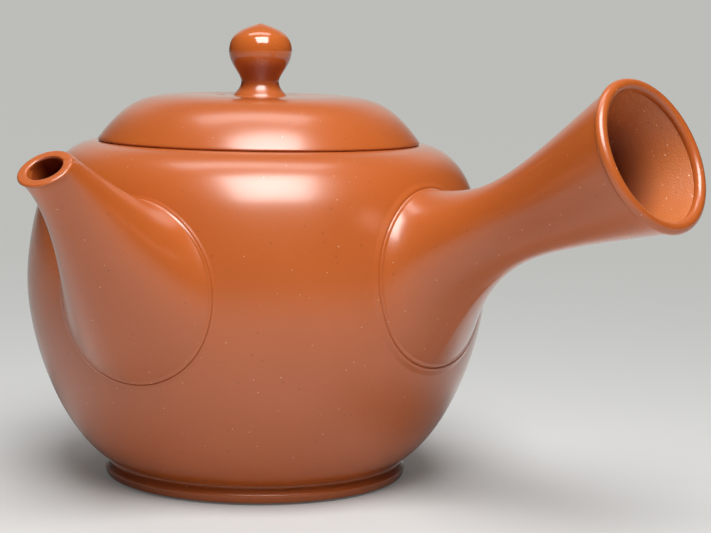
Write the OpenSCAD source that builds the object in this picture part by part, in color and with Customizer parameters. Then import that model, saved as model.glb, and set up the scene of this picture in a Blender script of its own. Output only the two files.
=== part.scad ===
// Side-handled teapot in burnished clay: a thrown body with its foot ring, a luted spout and handle,
// a strainer dome inside the port, and a lid with its knob. Millimetres, +Z up.
// The origin is on the floor, on the axis of the body. The spout points along -X.

/* [Body] */
// Largest radius of the body, at the belly
belly_r = 47.4; // [44:0.2:52]
// Height of the belly's widest ring above the floor
belly_z = 41.3; // [38:0.1:44]
// Height of the rim the lid rests on
rim_z = 69.4; // [66:0.2:74]
// Radius of the body's rim, just outside the lid
rim_r = 33.9; // [33.6:0.1:36]
// Rounding of the rim's outer edge
rim_round = 0.5; // [0.2:0.1:0.8]
// Radius of the mouth
mouth_r = 28.9; // [27:0.1:30]
// Inset of the shoulder's turn from the belly
shoulder_in = 3.4; // [2.8:0.1:4.5]
// Drop of the shoulder's turn below the rim
shoulder_drop = 8.9; // [8:0.1:11]
// Lean of the wall at the shoulder's turn
shoulder_lean = 21.4; // [18:0.2:26]
// Thickness of the thrown wall
body_wall = 2.9; // [2.2:0.1:3.6]

/* [Foot] */
// Height of the foot, from the floor to the crease under the belly
foot_h = 4.1; // [3.6:0.1:5]
// Radius of the crease under the belly
crease_r = 30.95; // [30.5:0.05:32]
// Radius of the ridge turned round the foot
foot_r = 31.4; // [30.8:0.1:32.4]
// Depth of the cove under the crease
foot_cove = 0.6; // [0.3:0.1:0.9]
// Width of the ring that rests on the floor
foot_ring_w = 4; // [3:0.1:6]
// Depth of the recess inside the foot ring
foot_recess = 2.2; // [1:0.1:3]
// Thickness of the floor of the pot
base_t = 3.6; // [2.5:0.1:5]

/* [Spout] */
// Reach of the spout's mouth beyond the belly
spout_reach = 24.5; // [18:0.1:30]
// Drop of the middle of the spout's mouth below the body's rim
spout_tip_drop = 1.9; // [0:0.1:4]
// Outer radius of the spout at its mouth
spout_tip_r = 5.2; // [4.5:0.1:6.5]
// Lean of the spout's mouth from level
spout_tip_lean = 34.2; // [25:0.2:45]
// Height of the spout's root above the belly, at the top
spout_root_up = 19.6; // [17:0.1:20.5]
// Depth of the spout's root below the belly, at the bottom
spout_root_down = 17.9; // [15:0.1:21]
// Wall of the spout at its root
spout_wall = 2.3; // [1.8:0.1:3]
// Wall of the spout at its mouth
spout_lip = 1.5; // [1.1:0.1:1.8]

/* [Handle] */
// Turn of the handle from the spout, seen from above
handle_turn = 76.8; // [70:0.1:95]
// Side step of the handle's axis from the axis of the body
handle_step = 2.9; // [0:0.1:5]
// Rise of the handle's axis from level
handle_rise = 24.4; // [18:0.1:30]
// Drop below the belly at which the handle's axis passes the axis of the body
handle_drop = 12.4; // [9:0.1:15]
// Length of the handle beyond the belly
handle_out = 52.7; // [48:0.1:60]
// Outer radius of the handle's mouth
handle_mouth_r = 14.85; // [13.5:0.05:16]
// Radius of the handle's waist
handle_waist_r = 8.15; // [7:0.05:9]
// Distance of the waist from the mouth
handle_waist_at = 34.7; // [30:0.1:38]
// Half of the height of the handle's flare at its root
handle_root_r = 20.9; // [19:0.1:23]
// Half of the width of the flare at its root
handle_root_w = 24; // [21:0.1:26]
// Distance of the root from the mouth
handle_root_at = 66; // [64:0.5:69]
// Thickness of the handle's wall
handle_wall = 2.1; // [1.6:0.1:2.6]
// Radius of the lip rolled round the handle's mouth
handle_lip_r = 1.25; // [0.9:0.05:1.5]

/* [Lid] */
// Radius of the lid's edge
lid_r = 33.1; // [31.5:0.1:33.5]
// Thickness of the lid's edge over the rim
lid_edge_h = 0.5; // [0.3:0.1:1]
// Height of the lid above the rim, at the knob
lid_h = 9.6; // [8:0.1:12]
// Thickness of the lid's dome
lid_wall = 2.8; // [2.2:0.1:3.4]
// Depth of the flange that locates the lid in the mouth
flange_h = 6; // [4:0.5:9]
// Thickness of the flange
flange_t = 2.4; // [1.8:0.1:3]
// Clearance between the flange and the mouth
lid_clearance = 0.4; // [0.3:0.05:0.8]
// Diameter of the vent hole
vent_d = 1.8; // [1.4:0.1:2.6]
// Distance of the vent hole from the lid's axis
vent_at = 8; // [7.5:0.1:12]
// Direction of the vent hole from +X, seen from above
vent_turn = 122; // [0:1:359]

/* [Knob] */
// Largest radius of the knob
knob_r = 6.48; // [5.5:0.02:8]
// Radius of the knob's neck
knob_neck_r = 3.89; // [3:0.01:4.6]
// Radius of the knob's base
knob_base_r = 5.5; // [4.8:0.1:6.3]
// Height of the knob's neck above the lid
knob_neck_z = 2.8; // [2:0.1:3.6]
// Height of the knob's widest ring above the lid
knob_bulb_z = 9.1; // [8:0.1:10]
// Height of the knob above the lid
knob_h = 14.7; // [13:0.1:17]

/* [Strainer] */
// Radius of the strainer's dome
strainer_r = 11; // [10:0.1:13]
// Thickness of the strainer
strainer_t = 1.5; // [1.2:0.1:2]
// Diameter of the strainer's holes
strainer_hole_d = 1.4; // [1:0.1:1.8]
// Distance between the strainer's holes
strainer_pitch = 2.6; // [2.3:0.1:3.2]
// Rings of holes round the middle one
strainer_rings = 3; // [2:1:3]
// Radius of the port behind the strainer
port_r = 8; // [6:0.1:8.5]
// Height of the port above the belly
port_up = 2.7; // [0:0.1:6]

/* [Fit] */
// Joint left between luted pieces
lute_gap = 0.05; // [0.04:0.01:0.1]

/* [Hidden] */
$fn = 72;

clay = [0.80, 0.38, 0.14];
clay_dark = [0.62, 0.30, 0.14];

// A point on a cubic curve through p[0] and p[3], pulled by p[1] and p[2]
function cubic(p, t) =
    pow(1 - t, 3) * p[0] + 3 * pow(1 - t, 2) * t * p[1] + 3 * (1 - t) * t * t * p[2] + pow(t, 3) * p[3];

// The same curve as n + 1 points, from step first on
function cubic_points(p, n, first = 0) = [for (i = [first : n]) cubic(p, i / n)];

// Points on an arc round centre c, from angle a0 to angle a1
function arc_points(c, r, a0, a1, n) =
    [for (i = [0 : n]) let (a = a0 + (a1 - a0) * i / n) c + r * [cos(a), sin(a)]];

function reversed(list) = [for (i = [len(list) - 1 : -1 : 0]) list[i]];

// The same curve moved to its left by d
function cubic_beside(p, n, d, first = 0) = [
    for (i = [first : n])
        let (
            t = i / n,
            along = pow(1 - t, 2) * (p[1] - p[0]) + 2 * (1 - t) * t * (p[2] - p[1]) + t * t * (p[3] - p[2])
        )
        cubic(p, t) + d * [-along[1], along[0]] / norm(along)
];

// Steps of the long curves and of the short arcs
curve_steps = 12;
arc_steps = 5;

// Outside of the body from the crease over the belly and the shoulder to the rim, as [radius, height]
crease_pull = [9.3, 5.5];
belly_pull_down = 13.1;
belly_pull_up = 7.2;
shoulder_pull = 4.1;
rim_pull = [5.4, -0.8];
crease = [crease_r, foot_h];
belly = [belly_r, belly_z];
shoulder = [belly_r - shoulder_in, rim_z - shoulder_drop];
shoulder_way = [-sin(shoulder_lean), cos(shoulder_lean)];
rim = [rim_r, rim_z];
under_curve = [crease, crease + crease_pull, belly - [0, belly_pull_down], belly];
side_curve = [belly, belly + [0, belly_pull_up], shoulder - shoulder_pull * shoulder_way, shoulder];
shoulder_curve = [shoulder, shoulder + shoulder_pull * shoulder_way, rim + rim_pull, rim];
outer_curve = concat(
    cubic_points(under_curve, curve_steps),
    cubic_points(side_curve, curve_steps / 2, 1),
    cubic_points(shoulder_curve, curve_steps / 2, 1)
);

// Radius of the body's outside at height z
outer_table = [for (p = outer_curve) [p[1], p[0]]];
function outer_r(z) = lookup(z, outer_table);

// Inside of the body, from the middle of the floor up to the mouth
inner_r = belly_r - body_wall;
floor_z = foot_recess + base_t;
inner_wall = concat(
    cubic_beside(under_curve, curve_steps, body_wall),
    cubic_beside(side_curve, curve_steps / 2, body_wall, 1),
    cubic_beside(shoulder_curve, curve_steps / 2, body_wall, 1)
);
floor_corner = inner_wall[0];
floor_r = floor_corner[0] - 2 * body_wall;
floor_curve = [
    [floor_r - body_wall, floor_z],
    [floor_r, floor_z],
    floor_corner - body_wall * crease_pull / norm(crease_pull),
    floor_corner
];
mouth_under_z = inner_wall[len(inner_wall) - 1][1];
inner_curve = concat(
    [[0, floor_z]],
    cubic_points(floor_curve, arc_steps),
    [for (i = [1 : len(inner_wall) - 1]) inner_wall[i]],
    [[mouth_r + body_wall / 2, mouth_under_z], [mouth_r, mouth_under_z + body_wall / 2]]
);

// Foot, from the inside of its ring round the ridge and the cove up to the crease
foot_edge = 0.5;
foot_taper = 0.25;
foot_ridge_z = foot_h * 0.5;
foot_cove_z = foot_h * 0.83;
foot_ridge_pull = [0, 0.7];
foot_cove_pull = [-0.1, -0.9];
foot_lip = 0.3;
foot_outline = concat(
    [
        [0, foot_recess],
        [foot_r - foot_ring_w - foot_edge, foot_recess],
        [foot_r - foot_ring_w, 0],
        [foot_r - foot_taper - foot_edge, 0],
        [foot_r - foot_taper, foot_edge]
    ],
    cubic_points([
        [foot_r, foot_ridge_z],
        [foot_r, foot_ridge_z] + foot_ridge_pull,
        [crease_r - foot_cove, foot_cove_z] + foot_cove_pull,
        [crease_r - foot_cove, foot_cove_z]
    ], arc_steps),
    [[crease_r - foot_lip, foot_h - foot_lip]]
);

// Rounded outer edge of the rim
rim_edge = [for (i = [1 : arc_steps])
    let (a = 90 * i / arc_steps)
    [rim_r - rim_round * (1 - cos(a)), rim_z + rim_round * (sin(a) - 1)]];
shoulder_to_rim = [for (p = outer_curve) if (p[1] < rim_z - rim_round) p];

module body_section() {
    polygon(concat(
        foot_outline,
        shoulder_to_rim,
        [[rim_r, rim_z - rim_round]],
        rim_edge,
        [[mouth_r, rim_z]],
        reversed(inner_curve)
    ));
}

// Inside of the body, drawn in by a gap
module cavity(gap) {
    rotate_extrude()
        polygon(concat(
            [for (p = inner_curve) [max(0, p[0] - gap), p[1]]],
            [[mouth_r - gap, rim_z], [0, rim_z]]
        ));
}

port_z = belly_z + port_up;

module body() {
    color(clay)
        difference() {
            rotate_extrude() body_section();
            translate([0, 0, port_z])
                rotate([0, -90, 0])
                    cylinder(r = port_r, h = belly_r + body_wall);
        }
}

// Spout: circles strung between a top line and a bottom line in its upright plane, as [reach, height]
spout_sides = 40;
spout_steps = 14;
spout_bore_steps = 9;
spout_round = 0.35;
spout_root_depth = 1.6;
spout_top_root_pull = [0.7, -2.4];
spout_top_tip_pull = [12, 6.3];
spout_bottom_root_pull = [13, 9.8];
spout_bottom_tip_pull = [11.3, 5.5];
spout_tip = [belly_r + spout_reach, rim_z - spout_tip_drop];
spout_tip_half = spout_tip_r * [-cos(spout_tip_lean), sin(spout_tip_lean)];
spout_root_top = [outer_r(belly_z + spout_root_up) - spout_root_depth, belly_z + spout_root_up];
spout_root_bottom = [outer_r(belly_z - spout_root_down) - spout_root_depth, belly_z - spout_root_down];
spout_top_line = [
    spout_root_top,
    spout_root_top + spout_top_root_pull,
    spout_tip + spout_tip_half - spout_top_tip_pull,
    spout_tip + spout_tip_half
];
spout_bottom_line = [
    spout_root_bottom,
    spout_root_bottom + spout_bottom_root_pull,
    spout_tip - spout_tip_half - spout_bottom_tip_pull,
    spout_tip - spout_tip_half
];

// Point of the spout at t along it and angle a round it, drawn in by inset from its outside
function spout_point(t, a, inset) =
    let (
        top = cubic(spout_top_line, t),
        bottom = cubic(spout_bottom_line, t),
        middle = (top + bottom) / 2,
        half = (top - bottom) / 2,
        k = 1 - inset / norm(half),
        reach = middle + half * k * sin(a)
    )
    [-reach[0], norm(half) * k * cos(a), reach[1]];

// Wall of the spout at t along it
function spout_wall_at(t) = spout_wall + (spout_lip - spout_wall) * t;

// How far a point stands off the body's outside
function stand_off(p) = norm([p[0], p[1]]) - outer_r(p[2]) - lute_gap;

// Where along the spout a line at angle a leaves the body, by halving the step
function leaves_at(a, inset, low = 0, high = 0.5, turns = 16) =
    turns == 0 ? (low + high) / 2 :
    let (t = (low + high) / 2)
    stand_off(spout_point(t, a, inset)) < 0 ?
        leaves_at(a, inset, t, high, turns - 1) :
        leaves_at(a, inset, low, t, turns - 1);

function spout_ring(k, inset) = [
    for (i = [0 : spout_sides - 1])
        let (a = 360 * i / spout_sides, start = leaves_at(a, inset < 0 ? spout_wall : inset))
        let (t = start + (1 - start) * k)
        spout_point(t, a, inset < 0 ? spout_wall_at(t) : inset)
];

// Rings of the outside, the rounded lip and the bore, in order
spout_lip_back = spout_round / (norm(spout_tip - spout_root_top) / 2);
spout_rings = concat(
    [for (i = [0 : spout_steps - 1]) spout_ring(i / spout_steps, 0)],
    [
        spout_ring(1 - spout_lip_back, 0),
        spout_ring(1, spout_round),
        spout_ring(1, spout_lip - spout_round),
        spout_ring(1 - spout_lip_back, -1)
    ],
    [for (i = [spout_bore_steps - 1 : -1 : 0]) spout_ring(i / spout_bore_steps, -1)]
);

// Closed skin over a loop of rings
module ring_skin(rings) {
    n = len(rings);
    m = len(rings[0]);
    polyhedron(
        points = [for (ring = rings) each ring],
        faces = [
            for (j = [0 : n - 1], i = [0 : m - 1])
                let (
                    a = j * m + i,
                    b = j * m + (i + 1) % m,
                    c = ((j + 1) % n) * m + (i + 1) % m,
                    d = ((j + 1) % n) * m + i
                )
                each [[a, b, c], [a, c, d]]
        ]
    );
}

module spout() {
    color(clay) ring_skin(spout_rings);
}

// Handle: a straight trumpet, round from its mouth to its waist and oval at its root
handle_sides = 56;
handle_steps = 20;
handle_bore_steps = 12;
handle_bore_from = 2 / handle_steps;
handle_neck_step = [1.9, -0.6];
handle_mouth_pull = [9.9, -2.1];
handle_waist_pull = 9.1;
handle_waist_back_pull = 13.7;
handle_root_pull = [-7.1, -3.4];
handle_spare = 12;
handle_reach = belly_r / cos(handle_rise) + handle_out;
handle_neck = [0, handle_mouth_r] + handle_neck_step;
handle_waist = [handle_waist_at, handle_waist_r];
handle_root = [handle_root_at, handle_root_r];
handle_front_curve = [
    handle_neck,
    handle_neck + handle_mouth_pull,
    handle_waist - [handle_waist_pull, 0],
    handle_waist
];
handle_back_curve = [
    handle_waist,
    handle_waist + [handle_waist_back_pull, 0],
    handle_root + handle_root_pull,
    handle_root
];
handle_run_on = -handle_spare * handle_root_pull / norm(handle_root_pull);

// Outside of the handle as [distance from the mouth, radius], with u 0 at the neck, 1 at the waist
// and 2 at the root, past which the flare runs on into the body
function handle_profile(u) =
    u < 1 ? cubic(handle_front_curve, u) :
    u < 2 ? cubic(handle_back_curve, u - 1) :
    handle_root + (u - 2) * handle_run_on;

// How much wider than high the handle is at distance s from its mouth
function handle_oval(s) =
    let (k = max(0, (s - handle_waist_at) / (handle_root_at - handle_waist_at)))
    1 + (handle_root_w / handle_root_r - 1) * k * k;

// Point at distance s from the mouth, radius r and angle a, in the place of the handle
function handle_place(s, r, a) =
    let (
        along = handle_reach - s,
        out = along * cos(handle_rise) - r * sin(a) * sin(handle_rise),
        side = handle_step - r * cos(a) * handle_oval(s),
        up = along * sin(handle_rise) + r * sin(a) * cos(handle_rise),
        turn = 180 + handle_turn
    )
    [
        out * cos(turn) - side * sin(turn),
        out * sin(turn) + side * cos(turn),
        belly_z - handle_drop + up
    ];

// Point of the handle at u along it and angle a round it, drawn in by inset from its outside
function handle_point(u, a, inset) =
    let (p = handle_profile(u))
    handle_place(p[0], p[1] - inset, a);

// Where along the handle a line at angle a enters the body, by halving the step
function enters_at(a, inset, clear = 1, buried = 3, turns = 18) =
    turns == 0 ? clear :
    let (u = (clear + buried) / 2)
    stand_off(handle_point(u, a, inset)) > 0 ?
        enters_at(a, inset, u, buried, turns - 1) :
        enters_at(a, inset, clear, u, turns - 1);

// Ring at share k of the way from u = start to the body
handle_angles = [for (i = [0 : handle_sides - 1]) 360 * i / handle_sides];
function handle_ring(k, inset, start = 0) =
    [for (a = handle_angles) handle_point(start + (enters_at(a, inset) - start) * k, a, inset)];

// Lip: rolled from the neck over the mouth's edge into the bore
handle_lip_c = [handle_lip_r, handle_mouth_r - handle_lip_r];
handle_lip = arc_points(handle_lip_c, handle_lip_r, 90, 270, arc_steps + 2);

// Rings of the outside, the lip, the bore and the cut end, in order
handle_rings = concat(
    [for (i = [handle_steps : -1 : 0]) handle_ring(i / handle_steps, 0)],
    [for (p = handle_lip) [for (a = handle_angles) handle_place(p[0], p[1], a)]],
    [for (i = [0 : handle_bore_steps]) handle_ring(i / handle_bore_steps, handle_wall, handle_bore_from)],
    [handle_ring(1, handle_wall / 2)]
);

module handle() {
    color(clay) ring_skin(handle_rings);
}

// Strainer: a perforated dome on a short collar, cut to the inside of the wall
module strainer_shell(r) {
    sphere(r = r);
    translate([0, 0, -strainer_r]) cylinder(r = r, h = strainer_r);
}

// Middle of the dome: its collar just clears the wall's curve at the sides
strainer_x = sqrt(pow(inner_r, 2) - pow(strainer_r, 2)) - strainer_t;

module strainer() {
    color(clay_dark)
        intersection() {
            translate([-strainer_x, 0, port_z])
                rotate([0, 90, 0])
                    difference() {
                        strainer_shell(strainer_r);
                        strainer_shell(strainer_r - strainer_t);
                        cylinder(d = strainer_hole_d, h = 2 * strainer_r);
                        for (ring = [1 : strainer_rings], i = [0 : 6 * ring - 1])
                            rotate(60 * i / ring)
                                translate([ring * strainer_pitch, 0, 0])
                                    cylinder(d = strainer_hole_d, h = 2 * strainer_r);
                    }
            cavity(lute_gap);
        }
}

// Lid
lid_top_z = rim_z + lid_h;
lid_steps = 16;
lid_edge_pull = [-7.7, 10.7];
lid_top_pull = 14.4;
lid_seat_margin = 0.5;
lid_seat_r = knob_base_r + lid_seat_margin;
lid_edge = [lid_r, rim_z + lid_edge_h];
lid_outside = cubic_points([
    lid_edge,
    lid_edge + lid_edge_pull,
    [lid_seat_r + lid_top_pull, lid_top_z],
    [lid_seat_r, lid_top_z]
], lid_steps);
flange_bevel = 0.5;
flange_r = mouth_r - lid_clearance;
flange_inner_r = flange_r - flange_t;
lid_under_pull = [-2, 3.6];
lid_under_top_pull = 16;
lid_under_rise = 1.2;
lid_under_edge = [flange_inner_r, rim_z + lid_under_rise];
lid_inside = cubic_points([
    lid_under_edge,
    lid_under_edge + lid_under_pull,
    [lid_under_top_pull, lid_top_z - lid_wall],
    [0, lid_top_z - lid_wall]
], lid_steps);

module lid_section() {
    polygon(concat(
        lid_outside,
        [[0, lid_top_z]],
        reversed(lid_inside),
        [
            [flange_inner_r, rim_z - flange_h],
            [flange_r - flange_bevel, rim_z - flange_h],
            [flange_r, rim_z - flange_h + flange_bevel],
            [flange_r, rim_z]
        ],
        arc_points(lid_edge - [lid_edge_h, 0], lid_edge_h, -90, -90 / arc_steps, arc_steps - 1)
    ));
}

module lid() {
    color(clay)
        difference() {
            rotate_extrude() lid_section();
            rotate(vent_turn)
                translate([vent_at, 0, rim_z])
                    cylinder(d = vent_d, h = lid_h + lid_wall);
        }
}

// Knob, on its flat seat in the middle of the lid
knob_steps = 9;
knob_base_pull = [-0.6, 0.9];
knob_neck_pull_down = [0, -1.3];
knob_neck_pull_up = [0, 1.5];
knob_bulb_pull_down = [0, -2.8];
knob_bulb_pull_up = [0, 3.2];
knob_tip_pull = [4.4, -1.1];
knob_base = [knob_base_r, 0];
knob_neck = [knob_neck_r, knob_neck_z];
knob_bulb = [knob_r, knob_bulb_z];
knob_tip = [0, knob_h];
knob_foot_curve = [knob_base, knob_base + knob_base_pull, knob_neck + knob_neck_pull_down, knob_neck];
knob_swell_curve = [knob_neck, knob_neck + knob_neck_pull_up, knob_bulb + knob_bulb_pull_down, knob_bulb];
knob_top_curve = [knob_bulb, knob_bulb + knob_bulb_pull_up, knob_tip + knob_tip_pull, knob_tip];
knob_outline = concat(
    cubic_points(knob_foot_curve, knob_steps),
    cubic_points(knob_swell_curve, knob_steps, 1),
    cubic_points(knob_top_curve, knob_steps, 1)
);

module knob() {
    color(clay)
        translate([0, 0, lid_top_z])
            rotate_extrude() polygon(concat([[0, 0]], knob_outline));
}

body();
spout();
handle();
strainer();
lid();
knob();
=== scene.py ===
"""Side-handled teapot in burnished clay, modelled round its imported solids."""

import math

import bmesh
import bpy
from mathutils import Matrix, Vector


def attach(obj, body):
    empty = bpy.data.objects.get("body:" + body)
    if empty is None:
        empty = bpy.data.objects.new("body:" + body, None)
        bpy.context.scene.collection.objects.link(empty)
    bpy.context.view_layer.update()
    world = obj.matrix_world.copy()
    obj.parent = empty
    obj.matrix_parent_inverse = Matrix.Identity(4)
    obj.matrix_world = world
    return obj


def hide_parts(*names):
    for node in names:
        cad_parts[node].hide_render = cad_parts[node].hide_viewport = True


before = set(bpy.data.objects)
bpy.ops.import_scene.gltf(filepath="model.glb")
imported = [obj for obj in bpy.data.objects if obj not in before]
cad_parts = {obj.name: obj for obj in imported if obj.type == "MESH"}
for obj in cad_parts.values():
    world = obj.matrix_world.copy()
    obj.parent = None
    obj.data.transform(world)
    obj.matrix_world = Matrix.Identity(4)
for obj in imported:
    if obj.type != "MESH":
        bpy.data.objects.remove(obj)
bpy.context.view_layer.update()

MM = 0.001

# Body, in millimetres
BELLY_R = 47.39
BELLY_Z = 41.3
RIM_Z = 69.4
RIM_R = 33.9
RIM_ROUND = 0.5
MOUTH_R = 28.9
SHOULDER_IN = 3.4
SHOULDER_DROP = 8.9
SHOULDER_LEAN = math.radians(21.4)
BODY_WALL = 2.9
CREASE = (30.95, 4.1)
FOOT_R = 31.4
FOOT_RING_W = 4.0
FOOT_RECESS = 2.2
BASE_T = 3.6
PORT_R = 8.0
PORT_Z = BELLY_Z + 2.7

# Spout
SPOUT_REACH = 24.36
SPOUT_TIP_DROP = 1.55
SPOUT_TIP_R = 5.2
SPOUT_TIP_LEAN = math.radians(34.2)
SPOUT_ROOT_UP = 19.6
SPOUT_ROOT_DOWN = 17.9
SPOUT_ROOT_DEPTH = 1.6
SPOUT_WALL = 2.3
SPOUT_LIP = 1.9

# Handle
HANDLE_TURN = math.radians(76.8)
HANDLE_STEP = 2.9
HANDLE_RISE = math.radians(24.4)
HANDLE_DROP = 12.4
HANDLE_OUT = 52.7
HANDLE_MOUTH_R = 14.74
HANDLE_WAIST_R = 8.15
HANDLE_WAIST_AT = 34.7
HANDLE_ROOT_R = 20.9
HANDLE_ROOT_W = 24.0
HANDLE_ROOT_AT = 66.0
HANDLE_WALL = 2.1
HANDLE_LIP_R = 1.15

# Lid and knob
LID_R = 33.1
LID_EDGE_H = 0.5
LID_H = 9.6
LID_WALL = 2.8
FLANGE_H = 6.0
FLANGE_T = 2.4
LID_CLEARANCE = 0.4
VENT_D = 1.8
VENT_AT = 8.0
VENT_TURN = math.radians(122)
KNOB_R = 6.48
KNOB_NECK_R = 3.89
KNOB_BASE_R = 5.5
KNOB_NECK_Z = 2.8
KNOB_BULB_Z = 9.1
KNOB_H = 14.7

LID_TOP_Z = RIM_Z + LID_H
FLANGE_R = MOUTH_R - LID_CLEARANCE


# Curves


def cubic(p, t):
    """A point on the cubic curve through p[0] and p[3], pulled by p[1] and p[2]."""
    u = 1 - t
    return tuple(
        u**3 * a + 3 * u * u * t * b + 3 * u * t * t * c + t**3 * d
        for a, b, c, d in zip(*p)
    )


def cubic_points(p, steps, first=0):
    return [cubic(p, i / steps) for i in range(first, steps + 1)]


def beside(points, gap):
    """The same line, moved to its left by gap."""
    moved = []
    for i, (r, z) in enumerate(points):
        before = points[max(i - 1, 0)]
        after = points[min(i + 1, len(points) - 1)]
        along = (after[0] - before[0], after[1] - before[1])
        size = math.hypot(*along)
        moved.append((r - gap * along[1] / size, z + gap * along[0] / size))
    return moved


def add(p, q):
    return tuple(a + b for a, b in zip(p, q))


# Outside of the body from the crease over belly and shoulder to the rim
shoulder = (BELLY_R - SHOULDER_IN, RIM_Z - SHOULDER_DROP)
shoulder_way = (-math.sin(SHOULDER_LEAN), math.cos(SHOULDER_LEAN))
shoulder_pull = 4.1
crease_pull = (9.3, 5.5)
rim_pull = (5.4, -0.8)
belly = (BELLY_R, BELLY_Z)
rim = (RIM_R, RIM_Z)
under_curve = [CREASE, add(CREASE, crease_pull), add(belly, (0, -13.1)), belly]
side_curve = [
    belly,
    add(belly, (0, 7.2)),
    add(shoulder, [-shoulder_pull * w for w in shoulder_way]),
    shoulder,
]
shoulder_curve = [
    shoulder,
    add(shoulder, [shoulder_pull * w for w in shoulder_way]),
    add(rim, rim_pull),
    rim,
]
outside = (
    cubic_points(under_curve, 40)
    + cubic_points(side_curve, 20, 1)
    + cubic_points(shoulder_curve, 24, 1)
)


def outside_r(z):
    """Radius of the body's outside at height z."""
    for (r0, z0), (r1, z1) in zip(outside, outside[1:]):
        if z <= z1:
            return r0 + (r1 - r0) * (z - z0) / (z1 - z0)
    return RIM_R


def outside_normal(p):
    """Outward normal of the body at a point on its outside."""
    step = 0.2
    lean = (outside_r(p.z + step) - outside_r(p.z - step)) / (2 * step)
    return Vector((p.x, p.y, -lean * math.hypot(p.x, p.y))).normalized()


# Modelling


def deselect_all():
    bpy.ops.object.select_all(action="DESELECT")


def edit():
    bpy.ops.object.mode_set(mode="EDIT")
    bpy.ops.mesh.select_all(action="SELECT")


def leave_edit():
    bpy.ops.object.mode_set(mode="OBJECT")


def close_skin():
    """Merges the seam and the poles, and turns the faces outwards."""
    bpy.ops.mesh.select_all(action="SELECT")
    bpy.ops.mesh.remove_doubles(threshold=0.001 * MM)
    bpy.ops.mesh.normals_make_consistent(inside=False)
    leave_edit()


def thrown(name, outline, turns):
    """Draws an outline of (radius, height) from a point, and spins it round the wheel's axis."""
    deselect_all()
    bpy.ops.mesh.primitive_circle_add(vertices=3, radius=MM)
    piece = bpy.context.object
    piece.name = name
    edit()
    bpy.ops.mesh.merge(type="CENTER")
    here = (0.0, 0.0)
    for i, (r, z) in enumerate(outline):
        step = ((r - here[0]) * MM, 0, (z - here[1]) * MM)
        here = (r, z)
        if i == 0:
            bpy.ops.transform.translate(value=step)
        else:
            bpy.ops.mesh.extrude_region_move(TRANSFORM_OT_translate={"value": step})
    bpy.ops.mesh.select_all(action="SELECT")
    bpy.ops.mesh.spin(steps=turns, angle=2 * math.pi, center=(0, 0, 0), axis=(0, 0, 1))
    close_skin()
    return piece


def strung(name, rings, sides):
    """Extrudes a ring of (centre, radius, width over height, lean) along the others, and closes it."""
    deselect_all()
    bpy.ops.mesh.primitive_circle_add(vertices=sides, radius=MM)
    piece = bpy.context.object
    piece.name = name
    edit()
    centre, size, width, lean = Vector(), 1.0, 1.0, 0.0
    for i, (at, r, wide, tilt) in enumerate(rings):
        step = (at - centre) * MM
        if i == 0:
            bpy.ops.transform.translate(value=step)
        else:
            bpy.ops.mesh.extrude_region_move(TRANSFORM_OT_translate={"value": step})
        grow = r / size
        bpy.ops.transform.resize(
            value=(grow, grow * wide / width, grow), center_override=at * MM
        )
        if abs(tilt - lean) > 1e-6:
            bpy.ops.transform.rotate(
                value=tilt - lean, orient_axis="Y", center_override=at * MM
            )
        centre, size, width, lean = at, r, wide, tilt
    bpy.ops.mesh.select_all(action="DESELECT")
    bpy.ops.mesh.select_mode(type="EDGE")
    bpy.ops.mesh.select_non_manifold()
    bpy.ops.mesh.bridge_edge_loops()
    bpy.ops.mesh.select_mode(type="VERT")
    close_skin()
    return piece


def drill(name, r, depth, at, turn):
    """A round cutter."""
    deselect_all()
    bpy.ops.mesh.primitive_cylinder_add(
        vertices=64, radius=r * MM, depth=depth * MM, location=Vector(at) * MM, rotation=turn
    )
    bpy.context.object.name = name
    return bpy.context.object


def cut(piece, cutter):
    """Takes the cutter's shape out of the piece."""
    deselect_all()
    piece.select_set(True)
    bpy.context.view_layer.objects.active = piece
    taken = piece.modifiers.new("cut", "BOOLEAN")
    taken.operation = "DIFFERENCE"
    taken.solver = "EXACT"
    taken.object = cutter
    bpy.ops.object.modifier_apply(modifier=taken.name)
    bpy.data.objects.remove(cutter)


def join(piece, *others):
    deselect_all()
    for other in others:
        other.select_set(True)
    piece.select_set(True)
    bpy.context.view_layer.objects.active = piece
    bpy.ops.object.join()


def settle(piece, smooth_angle=32):
    """Puts the piece's place into its mesh and smooths it."""
    deselect_all()
    piece.select_set(True)
    bpy.context.view_layer.objects.active = piece
    bpy.ops.object.transform_apply(location=True, rotation=True, scale=True)
    bpy.ops.object.shade_smooth_by_angle(angle=math.radians(smooth_angle))


# Body
foot_inner_r = FOOT_R - FOOT_RING_W
floor_z = FOOT_RECESS + BASE_T
foot_outline = (
    [(0, FOOT_RECESS), (foot_inner_r - 2.2, FOOT_RECESS)]
    + cubic_points(
        [
            (foot_inner_r - 1.2, FOOT_RECESS),
            (foot_inner_r - 0.5, FOOT_RECESS),
            (foot_inner_r - 0.4, 0.9),
            (foot_inner_r - 0.2, 0.4),
        ],
        6,
    )
    + [(foot_inner_r + 0.2, 0)]
    + cubic_points(
        [(FOOT_R - 2.6, 0), (FOOT_R - 1.9, 0), (FOOT_R - 1.5, 0.3), (FOOT_R - 0.8, 0.36)], 5
    )
    + cubic_points(
        [(FOOT_R - 0.8, 0.36), (FOOT_R - 0.45, 0.4), (FOOT_R - 0.3, 0.55), (FOOT_R - 0.25, 0.85)], 5, 1
    )
    + cubic_points(
        [(FOOT_R - 0.05, 1.5), (FOOT_R, 1.9), (FOOT_R, 2.15), (FOOT_R - 0.3, 2.35)], 6
    )
    + cubic_points(
        [(FOOT_R - 0.45, 2.5), (FOOT_R - 0.9, 2.9), (FOOT_R - 1.1, 3.2), (FOOT_R - 1.05, 3.6)], 8
    )
    + cubic_points(
        [(FOOT_R - 1.0, 3.7), (FOOT_R - 0.8, 3.74), (FOOT_R - 0.55, 3.84), CREASE], 5
    )
)
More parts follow.
